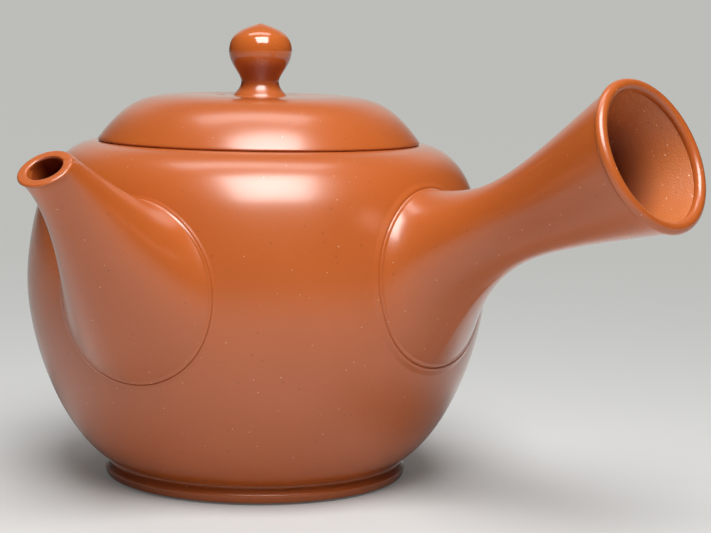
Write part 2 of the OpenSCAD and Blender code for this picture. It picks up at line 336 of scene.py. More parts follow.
rim_inset = [p for p in outside[1:] if p[1] < RIM_Z - RIM_ROUND]
rim_outline = cubic_points(
    [
        rim_inset[-1],
        add(rim, (0.9, -0.16)),
        add(rim, (0.35, 0)),
        (RIM_R - RIM_ROUND - 0.3, RIM_Z),
    ],
    8,
    1,
)
inner_wall = beside(outside, BODY_WALL)
inner_floor_r = inner_wall[0][0]
inner_outline = (
    [(MOUTH_R + 0.4, RIM_Z), (MOUTH_R + 0.1, RIM_Z - 0.1), (MOUTH_R, RIM_Z - 0.4)]
    + cubic_points(
        [
            (MOUTH_R, inner_wall[-1][1] + 1.6),
            (MOUTH_R, inner_wall[-1][1] + 0.4),
            (MOUTH_R + 0.6, inner_wall[-1][1]),
            (MOUTH_R + 2.4, inner_wall[-1][1]),
        ],
        6,
    )
    + inner_wall[:0:-2]
    + cubic_points(
        [
            inner_wall[0],
            add(inner_wall[0], (-2.5, -1.4)),
            (inner_floor_r - 5.6, floor_z),
            (inner_floor_r - 9, floor_z),
        ],
        6,
    )
    + [(0, floor_z)]
)
body_outline = foot_outline + rim_inset + rim_outline + inner_outline
body = thrown("pot_body", body_outline, turns=200)
port_depth = 20.0
cut(body, drill("port", PORT_R, port_depth, (-BELLY_R, 0, PORT_Z), (0, math.pi / 2, 0)))
settle(body)


ROOT_INSET = 1.0


def body_core():
    """What spout and handle are cut to: the body, drawn in so that they root in its wall."""
    skin = beside(outside, ROOT_INSET)
    return thrown("core", [(0, CREASE[1])] + skin + [(0, RIM_Z - ROOT_INSET)], turns=120)


# Spout
tip = (BELLY_R + SPOUT_REACH, RIM_Z - SPOUT_TIP_DROP)
tip_half = (-SPOUT_TIP_R * math.cos(SPOUT_TIP_LEAN), SPOUT_TIP_R * math.sin(SPOUT_TIP_LEAN))
tip_top = add(tip, tip_half)
tip_bottom = add(tip, (-tip_half[0], -tip_half[1]))
root_top_z = BELLY_Z + SPOUT_ROOT_UP
root_bottom_z = BELLY_Z - SPOUT_ROOT_DOWN
root_top = (outside_r(root_top_z) - SPOUT_ROOT_DEPTH, root_top_z)
root_bottom = (outside_r(root_bottom_z) - SPOUT_ROOT_DEPTH, root_bottom_z)
top_line = [root_top, add(root_top, (0.7, -2.4)), add(tip_top, (-12.0, -6.3)), tip_top]
bottom_line = [
    root_bottom,
    add(root_bottom, (13.0, 9.8)),
    add(tip_bottom, (-11.3, -5.5)),
    tip_bottom,
]


def spout_ring(t, inset=0.0, rise=0.0):
    """Ring of the spout at t along it, drawn in by inset. rise lifts it along the mouth's normal."""
    top = cubic(top_line, t)
    bottom = cubic(bottom_line, t)
    across = (top[0] - bottom[0], top[1] - bottom[1])
    size = math.hypot(*across)
    lean = math.atan2(across[1], -across[0])
    middle = Vector((-(top[0] + bottom[0]) / 2, 0, (top[1] + bottom[1]) / 2))
    middle += rise * Vector((-math.sin(lean), 0, math.cos(lean)))
    return middle, size / 2 - inset, 1.0, lean


def spout_point(t, angle):
    """Point on the outside of the spout."""
    middle, r, _, lean = spout_ring(t)
    up = Vector((math.cos(lean), 0, math.sin(lean)))
    return middle + r * (math.cos(angle) * up + math.sin(angle) * Vector((0, 1, 0)))


outer_steps = 40
outer_end = 0.98
bore_steps = 24
bore_end = 0.96
lip_round = 0.4
lip_angles = [math.pi / 2 * i / 6 for i in range(7)]
spout_rings = [spout_ring(outer_end * i / outer_steps) for i in range(outer_steps + 1)]
for turn in lip_angles:
    inset = lip_round * (1 - math.cos(turn))
    spout_rings.append(spout_ring(1, inset, lip_round * (math.sin(turn) - 1)))
for turn in lip_angles:
    inset = SPOUT_LIP - lip_round * (1 - math.sin(turn))
    spout_rings.append(spout_ring(1, inset, lip_round * (math.cos(turn) - 1)))
for i in range(bore_steps, -1, -1):
    t = bore_end * i / bore_steps
    spout_rings.append(spout_ring(t, SPOUT_WALL + (SPOUT_LIP - SPOUT_WALL) * t))
spout = strung("pot_spout", spout_rings, sides=128)
cut(spout, body_core())

# Handle: a trumpet of (distance from the mouth, radius), round at its mouth and oval at its root
handle_reach = BELLY_R / math.cos(HANDLE_RISE) + HANDLE_OUT
handle_neck = (1.9, HANDLE_MOUTH_R - 0.6)
waist = (HANDLE_WAIST_AT, HANDLE_WAIST_R)
handle_root = (HANDLE_ROOT_AT, HANDLE_ROOT_R)
root_pull = (7.1, 3.4)
front_curve = [handle_neck, add(handle_neck, (9.9, -2.1)), add(waist, (-9.1, 0)), waist]
back_curve = [
    waist,
    add(waist, (13.7, 0)),
    add(handle_root, [-pull for pull in root_pull]),
    handle_root,
]
handle_outside = (
    cubic_points(front_curve, 32)
    + cubic_points(back_curve, 72, 1)
    + [add(handle_root, [pull * k / 4 for pull in root_pull]) for k in range(1, 6)]
)
# The lip is a round bead, tucked in at the end of its turn
lip_outer = (HANDLE_LIP_R, HANDLE_MOUTH_R)
lip_steps = 16
lip_tuck = 26
lip_turns = [
    math.radians(180 * i / lip_steps + lip_tuck * max(0, i - lip_steps + 2) / 2)
    for i in range(1, lip_steps + 1)
]
handle_lip = cubic_points(
    [handle_neck, add(handle_neck, (-0.15, 0.35)), add(lip_outer, (0.3, 0)), lip_outer], 5, 1
) + [
    (
        HANDLE_LIP_R * (1 - math.sin(turn)),
        HANDLE_MOUTH_R - HANDLE_LIP_R * (1 - math.cos(turn)),
    )
    for turn in lip_turns
]
bore_start = 5
handle_inside = [(s, r - HANDLE_WALL) for s, r in handle_outside if s > bore_start]


def handle_ring(s, r):
    """Ring of the handle at s from its mouth."""
    along = max(0, (s - HANDLE_WAIST_AT) / (HANDLE_ROOT_AT - HANDLE_WAIST_AT))
    return Vector((0, 0, -s)), r, 1 + (HANDLE_ROOT_W / HANDLE_ROOT_R - 1) * along**2, 0.0


handle_place = (
    Matrix.Rotation(math.pi + HANDLE_TURN, 4, "Z")
    @ Matrix.Translation(Vector((0, HANDLE_STEP, BELLY_Z - HANDLE_DROP)) * MM)
    @ Matrix.Rotation(math.pi / 2 - HANDLE_RISE, 4, "Y")
    @ Matrix.Translation(Vector((0, 0, handle_reach)) * MM)
)
handle_rings = [handle_ring(s, r) for s, r in handle_outside[::-1] + handle_lip + handle_inside]
handle = strung("pot_handle", handle_rings, sides=160)
handle.matrix_world = handle_place
settle(handle)
cut(handle, body_core())


def handle_point(s, angle):
    """Point on the outside of the handle, in millimetres."""
    r = handle_root[1]
    for (s0, r0), (s1, r1) in zip(handle_outside, handle_outside[1:]):
        if s <= s1:
            r = r0 + (r1 - r0) * (s - s0) / (s1 - s0)
            break
    middle, r, wide, _ = handle_ring(s, r)
    local = middle + r * Vector((math.cos(angle), wide * math.sin(angle), 0))
    return (handle_place @ (local * MM)) / MM


# Luted seams: the skin curls out onto the body and ends in a fine roll,
# with a pressed line and a bead round it
HANDLE_CURL = 1.9
HANDLE_CURL_H = 18.0
HANDLE_CURL_TOP = RIM_Z - 1.4
HANDLE_CURL_FADE = 6.0
SPOUT_CURL = 0.6
SPOUT_CURL_H = 12.0
# The line is pressed firmest at the foot of the seam and closes towards its top
LINE_R = 0.1
LINE_OUT = 0.06
LINE_W = 0.2
LINE_FAINT = 0.2
# Bead, as distance out from the seam and height above the body
BEAD = [
    (-0.06, -0.1),
    (0.0, 0.08),
    (0.1, 0.15),
    (0.28, 0.21),
    (0.5, 0.22),
    (0.74, 0.18),
    (1.0, 0.1),
    (1.3, 0.03),
    (1.6, -0.03),
    (1.6, -0.5),
    (-0.06, -0.5),
]
HANDLE_BEAD = 1.0
SPOUT_BEAD = 0.5
# Roll, as distance up the skin from the seam and height above the skin
ROLL = [
    (-0.24, -0.3),
    (-0.1, 0.04),
    (0.05, 0.15),
    (0.25, 0.21),
    (0.45, 0.17),
    (0.7, 0.07),
    (0.95, -0.03),
    (0.95, -0.3),
]
SEAM_TURNS = 240
# How far along a piece its seam is looked for, from inside the body to clear of it
SPOUT_SEAM = (0.0, 0.6)
HANDLE_SEAM = (72.0, 36.0)
SEAM_HALVINGS = 24
# Share of that way over which a skin's direction at the seam is taken
SKIN_STEP = 0.03
# Brings the height of near * (1 - near) ** 2 to 1
CURL_PEAK = 27 / 4


def curled(p, depth, reach, side):
    """A point of a luted skin, drawn to the body where it nears it. side says how much, round it."""
    normal = outside_normal(p)
    near = (math.hypot(p.x, p.y) - outside_r(p.z)) * normal.to_2d().length / reach
    if not 0 < near < 1:
        return p
    return p - depth * side(p) * CURL_PEAK * near * (1 - near) ** 2 * normal


def handle_side(p):
    """1 on the side of the handle towards the spout, 0 over its top and on its far side."""
    local = handle_place.inverted() @ (p * MM)
    below_top = min(1, max(0, (HANDLE_CURL_TOP - p.z) / HANDLE_CURL_FADE))
    return below_top * math.sqrt(max(0, -local.y / math.hypot(local.x, local.y)))


def spout_side(p):
    """1 on the side of the spout towards the handle, 0 on its far side."""
    return max(0, -p.y / math.hypot(p.y, SPOUT_TIP_R))


def seam_reach(point_at, seam, angle):
    """How far along a luted piece its line at one angle comes out of the body."""
    buried, clear = seam
    for _ in range(SEAM_HALVINGS):
        middle = (buried + clear) / 2
        p = point_at(middle, angle)
        if math.hypot(p.x, p.y) < outside_r(p.z):
            buried = middle
        else:
            clear = middle
    return clear


def seam_frames(point_at, seam, depth, reach, side):
    """Points of a seam, each with its ways along and off the body, and along and off the skin."""
    turns = [2 * math.pi * i / SEAM_TURNS for i in range(SEAM_TURNS)]
    step = SKIN_STEP * (seam[1] - seam[0])
    outs = [seam_reach(point_at, seam, turn) for turn in turns]
    line = [point_at(out, turn) for out, turn in zip(outs, turns)]
    middle = sum(line, Vector()) / SEAM_TURNS
    on_body = []
    on_skin = []
    for i, p in enumerate(line):
        along = line[(i + 1) % SEAM_TURNS] - line[i - 1]
        normal = outside_normal(p)
        away = along.cross(normal).normalized()
        if away.dot(p - middle) < 0:
            away = -away
        on_body.append((p, away, normal))
        up = (curled(point_at(outs[i] + step, turns[i]), depth, reach, side) - p).normalized()
        off = along.cross(up).normalized()
        if off.dot(away) < 0:
            off = -off
        on_skin.append((p, up, off))
    return on_body, on_skin


def along_seam(name, frames, section):
    """A closed strip of one section along a seam."""
    shape = bmesh.new()
    rings = [
        [shape.verts.new((p + a * way + b * off) * MM) for a, b in section]
        for p, way, off in frames
    ]
    for i, ring in enumerate(rings):
        last = rings[i - 1]
        for j in range(len(section)):
            shape.faces.new((last[j - 1], last[j], ring[j], ring[j - 1]))
    bmesh.ops.recalc_face_normals(shape, faces=shape.faces)
    mesh = bpy.data.meshes.new(name)
    shape.to_mesh(mesh)
    shape.free()
    strip = bpy.data.objects.new(name, mesh)
    bpy.context.scene.collection.objects.link(strip)
    return strip


pressed_line = [
    (LINE_OUT + LINE_R * math.cos(a), LINE_R * math.sin(a))
    for a in (2 * math.pi * i / 12 for i in range(12))
]


def lute(piece, point_at, seam, depth, reach, side, bead_size):
    """Finishes a seam: the skin curls, the line goes into the body, bead and roll join the piece."""
    on_body, on_skin = seam_frames(point_at, seam, depth, reach, side)
    for vertex in piece.data.vertices:
        vertex.co = curled(vertex.co / MM, depth, reach, side) * MM
    top = max(p.z for p, _, _ in on_body)
    low = min(p.z for p, _, _ in on_body)
    pressed = []
    beside_line = []
    for p, away, off in on_body:
        firm = LINE_FAINT + (1 - LINE_FAINT) * (top - p.z) / (top - low)
        pressed.append((p, firm * away, firm * off))
        beside_line.append((p + (firm - LINE_FAINT) * LINE_W * away, away, off))
    cut(body, along_seam("pressed_line", pressed, pressed_line))
    bead = [(bead_size * out, bead_size * up) for out, up in BEAD]
    join(piece, along_seam("bead", beside_line, bead), along_seam("roll", on_skin, ROLL))
    settle(piece)


lute(spout, spout_point, SPOUT_SEAM, SPOUT_CURL, SPOUT_CURL_H, spout_side, SPOUT_BEAD)
lute(handle, handle_point, HANDLE_SEAM, HANDLE_CURL, HANDLE_CURL_H, handle_side, HANDLE_BEAD)
settle(body)

# Lid
lid_edge = (LID_R, RIM_Z + LID_EDGE_H)
lid_seat_r = KNOB_BASE_R + 0.5
flange_inner_r = FLANGE_R - FLANGE_T
lid_outline = (
    [(0, LID_TOP_Z), (lid_seat_r / 2, LID_TOP_Z)]
    + cubic_points(
        [
            (lid_seat_r, LID_TOP_Z),
            (lid_seat_r + 14.4, LID_TOP_Z),
            add(lid_edge, (-7.7, 10.7)),
            lid_edge,
        ],
        64,
    )
    + cubic_points(
        [lid_edge, add(lid_edge, (0.12, -0.2)), (LID_R - 0.1, RIM_Z), (LID_R - 0.5, RIM_Z)], 8, 1
    )
    + [(FLANGE_R + 0.3, RIM_Z)]
    + cubic_points(
        [
            (FLANGE_R, RIM_Z - 0.3),
            (FLANGE_R, RIM_Z - 2),
            (FLANGE_R, RIM_Z - 4),
            (FLANGE_R, RIM_Z - 5.4),
        ],
        4,
    )
    + cubic_points(
        [
            (FLANGE_R - 0.1, RIM_Z - FLANGE_H + 0.3),
            (FLANGE_R - 0.4, RIM_Z - FLANGE_H),
            (flange_inner_r + 0.6, RIM_Z - FLANGE_H),
            (flange_inner_r + 0.1, RIM_Z - FLANGE_H + 0.5),
        ],
        8,
    )
    + cubic_points(
        [
            (flange_inner_r, RIM_Z + 1.2),
            (flange_inner_r - 2, RIM_Z + 4.8),
            (16, LID_TOP_Z - LID_WALL),
            (0, LID_TOP_Z - LID_WALL),
        ],
        32,
    )
)
lid = thrown("pot_lid", lid_outline, turns=240)
vent = (VENT_AT * math.cos(VENT_TURN), VENT_AT * math.sin(VENT_TURN), LID_TOP_Z)
vent_depth = 12
cut(lid, drill("vent", VENT_D / 2, vent_depth, vent, (0, 0, 0)))
settle(lid)

# Knob
knob_base = (KNOB_BASE_R, LID_TOP_Z)
knob_neck = (KNOB_NECK_R, LID_TOP_Z + KNOB_NECK_Z)
knob_bulb = (KNOB_R, LID_TOP_Z + KNOB_BULB_Z)
knob_tip = (0, LID_TOP_Z + KNOB_H)
knob_outline = (
    [(0, LID_TOP_Z)]
    + cubic_points(
        [knob_base, add(knob_base, (-0.6, 0.9)), add(knob_neck, (0, -1.3)), knob_neck], 20
    )
    + cubic_points(
        [knob_neck, add(knob_neck, (0, 1.5)), add(knob_bulb, (0, -2.8)), knob_bulb], 24, 1
    )
    + cubic_points(
        [knob_bulb, add(knob_bulb, (0, 3.2)), add(knob_tip, (4.4, -1.1)), knob_tip], 32, 1
    )
)
knob = thrown("lid_knob", knob_outline, turns=128)
settle(knob, smooth_angle=40)


# Clay


def node(tree, kind, **values):
    made = tree.nodes.new("ShaderNode" + kind)
    for key, value in values.items():
        setattr(made, key, value)
    return made


def wire(tree, source, target):
    tree.links.new(source, target)


def number(tree, operation, a, b=None, clamp=False):
    """A Math node on sockets or plain numbers."""
    made = node(tree, "Math", operation=operation, use_clamp=clamp)
    for socket, value in zip(made.inputs, (a, b)):
        if value is None:
            continue
        if isinstance(value, (int, float)):
            socket.default_value = value
        else:
            wire(tree, value, socket)
    return made.outputs[0]


def spread(tree, value, low, high, to_low, to_high):
    made = node(tree, "MapRange")
    wire(tree, value, made.inputs["Value"])
    for name, number_in in zip(
        ("From Min", "From Max", "To Min", "To Max"), (low, high, to_low, to_high)
    ):
        made.inputs[name].default_value = number_in
    return made.outputs["Result"]


def noise(tree, vector, scale, detail=2.0, rough=0.5):
    made = node(tree, "TexNoise")
    made.inputs["Scale"].default_value = scale
    made.inputs["Detail"].default_value = detail
    made.inputs["Roughness"].default_value = rough
    wire(tree, vector, made.inputs["Vector"])
    return made.outputs["Fac"]


def blend(tree, factor, a, b):
    """A colour mix of two sockets or plain colours."""
    made = node(tree, "Mix", data_type="RGBA")
    wire(tree, factor, made.inputs[0])
    for socket, value in ((made.inputs[6], a), (made.inputs[7], b)):
        if isinstance(value, tuple):
            socket.default_value = value
        else:
            wire(tree, value, socket)
    return made.outputs[2]


def new_group(name, inputs, outputs):
    """A shader node group, with its input and output sockets."""
    tree = bpy.data.node_groups.new(name, "ShaderNodeTree")
    for label, kind, default in inputs:
        socket = tree.interface.new_socket(label, in_out="INPUT", socket_type="NodeSocket" + kind)
        if default is not None:
            socket.default_value = default
    for label, kind in outputs:
        tree.interface.new_socket(label, in_out="OUTPUT", socket_type="NodeSocket" + kind)
    given = tree.nodes.new("NodeGroupInput").outputs
    made = tree.nodes.new("NodeGroupOutput").inputs
    return tree, given, made


def flecks(tree, vector, scale, size, share):
    """Mask of small round flecks, in a share of the cells of a Voronoi net."""
    cells = node(tree, "TexVoronoi")
    cells.inputs["Scale"].default_value = scale
    wire(tree, vector, cells.inputs["Vector"])
    dot = spread(tree, cells.outputs["Distance"], size * 0.6, size, 1, 0)
    parts = node(tree, "SeparateColor")
    wire(tree, cells.outputs["Color"], parts.inputs["Color"])
    chosen = number(tree, "GREATER_THAN", parts.outputs["Red"], 1 - share)
    return number(tree, "MULTIPLY", dot, chosen)


# Colour of the fired clay: slow mottling, fine grain, dark iron flecks and pale dust.
# Dust over 1 adds finer dust
MOTTLE_SCALE = 55
GRAIN_SCALE = 4200
IRON_FLECKS = {"scale": 900, "size": 0.22, "share": 0.05}
IRON_STRENGTH = 0.5
IRON = (0.16, 0.035, 0.012, 1)
DUST_FLECKS = {"scale": 480, "size": 0.07, "share": 0.7}
FINE_DUST_FLECKS = {"scale": 800, "size": 0.1, "share": 0.6}
DUST = (0.9, 0.66, 0.5, 1)
clay_colour, given, made = new_group(
    "clay_colour",
    [
        ("Vector", "Vector", None),
        ("Clay", "Color", (0.6, 0.12, 0.03, 1)),
        ("Deep", "Color", (0.45, 0.08, 0.02, 1)),
        ("Dust", "Float", 1.0),
    ],
    [("Colour", "Color")],
)
vector = given["Vector"]
mottle = spread(clay_colour, noise(clay_colour, vector, MOTTLE_SCALE, 3), 0.3, 0.75, 0.1, 0.4)
grain = spread(clay_colour, noise(clay_colour, vector, GRAIN_SCALE), 0.35, 0.7, 0.0, 0.4)
deepen = number(clay_colour, "ADD", mottle, grain, clamp=True)
tone = blend(clay_colour, deepen, given["Clay"], given["Deep"])
iron = flecks(clay_colour, vector, **IRON_FLECKS)
iron = number(clay_colour, "MULTIPLY", iron, IRON_STRENGTH)
tone = blend(clay_colour, iron, tone, IRON)
dust = flecks(clay_colour, vector, **DUST_FLECKS)
dust = number(clay_colour, "MULTIPLY", dust, given["Dust"], clamp=True)
fine_dust = flecks(clay_colour, vector, **FINE_DUST_FLECKS)
over_one = number(clay_colour, "SUBTRACT", given["Dust"], 1.0, clamp=True)
fine_dust = number(clay_colour, "MULTIPLY", fine_dust, over_one)
dust = number(clay_colour, "MAXIMUM", dust, fine_dust)
tone = blend(clay_colour, dust, tone, DUST)
wire(clay_colour, tone, made["Colour"])

# Burnish: the gloss with its slow wear, rings left by the wheel, and fine grain
PATCH_SCALE = 90
FINE_SCALE = 5200
WEAR_SCALE = 60
WEAR = 0.012
RING_SHARE = 0.4
burnish, given, made = new_group(
    "burnish",
    [
        ("Vector", "Vector", None),
        ("Roughness", "Float", 0.28),
        ("Rings", "Float", 0.5),
        ("Ring Scale", "Float", 2200.0),
    ],
    [("Roughness", "Float"), ("Height", "Float")],
)
parts = node(burnish, "SeparateXYZ")
wire(burnish, given["Vector"], parts.inputs[0])
flat = node(burnish, "CombineXYZ")
wire(burnish, parts.outputs["X"], flat.inputs["X"])
wire(burnish, parts.outputs["Y"], flat.inputs["Y"])
radius = node(burnish, "VectorMath", operation="LENGTH")
wire(burnish, flat.outputs[0], radius.inputs[0])
profile = node(burnish, "CombineXYZ")
wire(burnish, radius.outputs["Value"], profile.inputs["X"])
wire(burnish, parts.outputs["Z"], profile.inputs["Y"])
scaled = node(burnish, "VectorMath", operation="SCALE")
wire(burnish, profile.outputs[0], scaled.inputs[0])
wire(burnish, given["Ring Scale"], scaled.inputs["Scale"])
lines = spread(burnish, noise(burnish, scaled.outputs[0], 1.0), 0.25, 0.75, -1, 1)
patches = spread(burnish, noise(burnish, given["Vector"], PATCH_SCALE), 0.35, 0.7, 0.2, 1)
lines = number(burnish, "MULTIPLY", lines, patches)
lines = number(burnish, "MULTIPLY", lines, given["Rings"])
fine = spread(burnish, noise(burnish, given["Vector"], FINE_SCALE), 0.25, 0.75, -1, 1)
wear = spread(burnish, noise(burnish, given["Vector"], WEAR_SCALE), 0.3, 0.7, -WEAR, WEAR)
rough = number(burnish, "ADD", given["Roughness"], wear, clamp=True)
wire(burnish, rough, made["Roughness"])
height = number(burnish, "ADD", number(burnish, "MULTIPLY", lines, RING_SHARE), fine)
wire(burnish, height, made["Height"])


CLAY_IOR = 1.68
POLISH_IOR = 1.12
POLISH_ROUGHNESS = 0.1


def clay(name, colour, deep, dust, roughness, rings, ring_scale, relief, place=None):
    """A burnished clay. place turns the rings to a piece's own axis."""
    material = bpy.data.materials.new(name)
    material.use_nodes = True
    tree = material.node_tree
    shader = tree.nodes["Principled BSDF"]
    coordinates = node(tree, "TexCoord", name="coordinates").outputs["Object"]
    along = coordinates
    if place is not None:
        turned = node(tree, "Mapping", name="turned", vector_type="TEXTURE")
        turned.inputs["Location"].default_value = place.to_translation()
        turned.inputs["Rotation"].default_value = place.to_euler()
        wire(tree, coordinates, turned.inputs["Vector"])
        along = turned.outputs["Vector"]
    tone = node(tree, "Group", name="tone", node_tree=clay_colour)
    tone.inputs["Clay"].default_value = colour
    tone.inputs["Deep"].default_value = deep
    tone.inputs["Dust"].default_value = dust
    wire(tree, coordinates, tone.inputs["Vector"])
    wire(tree, tone.outputs["Colour"], shader.inputs["Base Color"])
    polish = node(tree, "Group", name="polish", node_tree=burnish)
    polish.inputs["Roughness"].default_value = roughness
    polish.inputs["Rings"].default_value = rings
    polish.inputs["Ring Scale"].default_value = ring_scale
    wire(tree, along, polish.inputs["Vector"])
    wire(tree, polish.outputs["Roughness"], shader.inputs["Roughness"])
    bump = node(tree, "Bump")
    bump.inputs["Distance"].default_value = relief * MM
    wire(tree, polish.outputs["Height"], bump.inputs["Height"])
    wire(tree, bump.outputs["Normal"], shader.inputs["Normal"])
    shader.inputs["IOR"].default_value = CLAY_IOR
    shader.inputs["Coat Weight"].default_value = 1.0
    shader.inputs["Coat IOR"].default_value = POLISH_IOR
    shader.inputs["Coat Roughness"].default_value = POLISH_ROUGHNESS
    return material


ORANGE = (0.448, 0.101, 0.0175, 1)
RUST = (0.38, 0.079, 0.0125, 1)
# Painted shade: a dark clay colour for the spout's bore and the knob's waist
PAINTED_SHADE = (0.26, 0.045, 0.006, 1)
PALE = (0.5, 0.141, 0.038, 1)
BORE_SHADE = (0.13, 0.015, 0.001, 1)
BARE = (0.46, 0.1, 0.028, 1)
BARE_DEEP = (0.36, 0.07, 0.02, 1)
SATIN = 0.292
BODY_SATIN = 0.295
KNOB_GLOSS = 0.13
# Relief is in millimetres
body_clay = clay(
    "body_clay", ORANGE, RUST, dust=0.5, roughness=BODY_SATIN, rings=0.25, ring_scale=2200, relief=0.0003
)
lid_clay = clay(
    "lid_clay", ORANGE, RUST, dust=0.4, roughness=SATIN, rings=0.3, ring_scale=2200, relief=0.0003
)
knob_clay = clay(
    "knob_clay", ORANGE, RUST, dust=0.2, roughness=KNOB_GLOSS, rings=0.15, ring_scale=2200, relief=0.0001
)
spout_clay = clay(
    "spout_clay", ORANGE, RUST, dust=0.6, roughness=SATIN, rings=0.2, ring_scale=1500, relief=0.0003
)
# Painted shade: the spout's bore is given a darker clay that stands in for the shade inside it
spout_inside_clay = clay(
    "spout_inside_clay", PAINTED_SHADE, PAINTED_SHADE, dust=0, roughness=0.4, rings=0.2, ring_scale=1500, relief=0.001
)
handle_clay = clay(
    "handle_clay",
    ORANGE,
    RUST,
    dust=0.5,
    roughness=SATIN,
    rings=0.12,
    ring_scale=1800,
    relief=0.0003,
    place=handle_place,
)
handle_inside_clay = clay(
    "handle_inside_clay",
    PALE,
    PALE,
    dust=1.8,
    roughness=0.36,
    rings=1.0,
    ring_scale=900,
    relief=0.02,
    place=handle_place,
)
bare_clay = clay(
    "bare_clay", BARE, BARE_DEEP, dust=0, roughness=0.55, rings=0.2, ring_scale=1500, relief=0.004
)

# Painted shade: the inside of the handle is darker the deeper it lies
SHADE_FROM = 7.5
SHADE_FULL = 15.0
tree = handle_inside_clay.node_tree
depth = node(tree, "SeparateXYZ")
wire(tree, tree.nodes["turned"].outputs["Vector"], depth.inputs[0])
inward = spread(tree, depth.outputs["Z"], -SHADE_FULL * MM, -SHADE_FROM * MM, 1, 0)
painted_bore_shade = blend(tree, inward, PALE, BORE_SHADE)
wire(tree, painted_bore_shade, tree.nodes["tone"].inputs["Clay"])
wire(tree, painted_bore_shade, tree.nodes["tone"].inputs["Deep"])

# The top of the lid is less burnished round the knob
DULL_R = 14
DULL_END_R = 20
DULL = 0.42
tree = lid_clay.node_tree
flat = node(tree, "VectorMath", operation="MULTIPLY")
wire(tree, tree.nodes["coordinates"].outputs["Object"], flat.inputs[0])
flat.inputs[1].default_value = (1, 1, 0)
from_axis = node(tree, "VectorMath", operation="LENGTH")
wire(tree, flat.outputs[0], from_axis.inputs[0])
near_knob = spread(tree, from_axis.outputs["Value"], DULL_R * MM, DULL_END_R * MM, DULL, SATIN)
wire(tree, near_knob, tree.nodes["polish"].inputs["Roughness"])

# Painted shade: the knob is darker round its waist, and its foot is less glossy
WAIST_Z = LID_TOP_Z + 4.4
WAIST_H = 1.2
WAIST_FADE_H = 3.6
KNOB_FOOT_Z = LID_TOP_Z + 3
KNOB_UPPER_Z = LID_TOP_Z + 7
KNOB_FOOT_GLOSS = 0.25
tree = knob_clay.node_tree
up = node(tree, "SeparateXYZ")
wire(tree, tree.nodes["coordinates"].outputs["Object"], up.inputs[0])
from_waist = number(tree, "SUBTRACT", up.outputs["Z"], WAIST_Z * MM)
from_waist = number(tree, "ABSOLUTE", from_waist)
at_waist = spread(tree, from_waist, WAIST_H * MM, WAIST_FADE_H * MM, 1, 0)
waist_shade = blend(tree, at_waist, ORANGE, PAINTED_SHADE)
wire(tree, waist_shade, tree.nodes["tone"].inputs["Clay"])
wire(tree, waist_shade, tree.nodes["tone"].inputs["Deep"])
foot_gloss = spread(
    tree, up.outputs["Z"], KNOB_FOOT_Z * MM, KNOB_UPPER_Z * MM, KNOB_FOOT_GLOSS, KNOB_GLOSS
)
wire(tree, foot_gloss, tree.nodes["polish"].inputs["Roughness"])


def dress(piece, material, body_name, node_name):
    piece.data.materials.clear()
    piece.data.materials.append(material)
    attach(piece, body_name)
    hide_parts(node_name)


dress(body, body_clay, "pot", "body")
dress(spout, spout_clay, "pot", "spout")
dress(handle, handle_clay, "pot", "handle")
dress(lid, lid_clay, "lid", "lid")
dress(knob, knob_clay, "lid", "knob")

# Inside clay of spout and handle, with its painted shade, which stays clear of their seams
SEAM_CLEAR = 2.5


def line_bore(piece, material, middles):
    """Gives the faces that look in at the middle line their own clay, but not the lip at its start."""
    piece.data.materials.append(material)
    for face in piece.data.polygons:
        at = face.center / MM
        if math.hypot(at.x, at.y) < outside_r(at.z) + SEAM_CLEAR:
            continue
        nearest = min(range(len(middles)), key=lambda i: (middles[i] - at).length_squared)
        if nearest > 0 and (at - middles[nearest]).dot(face.normal) < 0:
            face.material_index = 1


spout_middles = [spout_ring(1 - 0.04 * i)[0] for i in range(26)]
handle_middles = [(handle_place @ (Vector((0, 0, -1 - 2 * i)) * MM)) / MM for i in range(33)]
line_bore(spout, spout_inside_clay, spout_middles)
line_bore(handle, handle_inside_clay, handle_middles)

# The strainer keeps its solid, in bare clay
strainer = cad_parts["strainer"]
strainer.data.materials.clear()
strainer.data.materials.append(bare_clay)

# Studio, laid out as seen by the camera: x to its right, y away from it, in millimetres
VIEW_TURN = math.radians(-58.4)
studio = Matrix.Rotation(VIEW_TURN, 4, "Z")


def in_studio(x, y, z):
    return studio @ (Vector((x, y, z)) * MM)


# Camera
camera_at = in_studio(0, -410.38, 93.73)
lens_px = 1981.2
photo_w = 711
sensor_w = 36
yaw, pitch, roll = (math.radians(a) for a in (2.844, 6.953, 1.067))
forward = Vector(
    (math.sin(yaw) * math.cos(pitch), math.cos(yaw) * math.cos(pitch), -math.sin(pitch))
)
right = Vector((math.cos(yaw), -math.sin(yaw), 0))
above = right.cross(forward)
right, above = (
    math.cos(roll) * right + math.sin(roll) * above,
    math.cos(roll) * above - math.sin(roll) * right,
)
camera_data = bpy.data.cameras.new("camera")
camera_data.sensor_fit = "HORIZONTAL"
camera_data.sensor_width = sensor_w
camera_data.lens = lens_px * sensor_w / photo_w
camera_data.clip_start = 0.01
camera = bpy.data.objects.new("camera", camera_data)
bpy.context.scene.collection.objects.link(camera)
turn = Matrix((right, above, -forward)).transposed().to_4x4()
camera.matrix_world = Matrix.Translation(camera_at) @ studio @ turn
bpy.context.scene.camera = camera


def softbox(name, at, target, width, height, power):
    """A rectangular soft light."""
    data = bpy.data.lights.new(name, "AREA")
    data.shape = "RECTANGLE"
    data.size = width * MM
    data.size_y = height * MM
    data.energy = power
    lamp = bpy.data.objects.new(name, data)
    bpy.context.scene.collection.objects.link(lamp)
    lamp.location = in_studio(*at)
    way = in_studio(*target) - lamp.location
    lamp.rotation_euler = way.to_track_quat("-Z", "Y").to_euler()


softbox("key", at=(44, -287, 503), target=(0, -20, 60), width=340, height=360, power=4.65)
softbox("back_top", at=(-30, 86, 620), target=(-30, 0, 60), width=440, height=158, power=0.84)

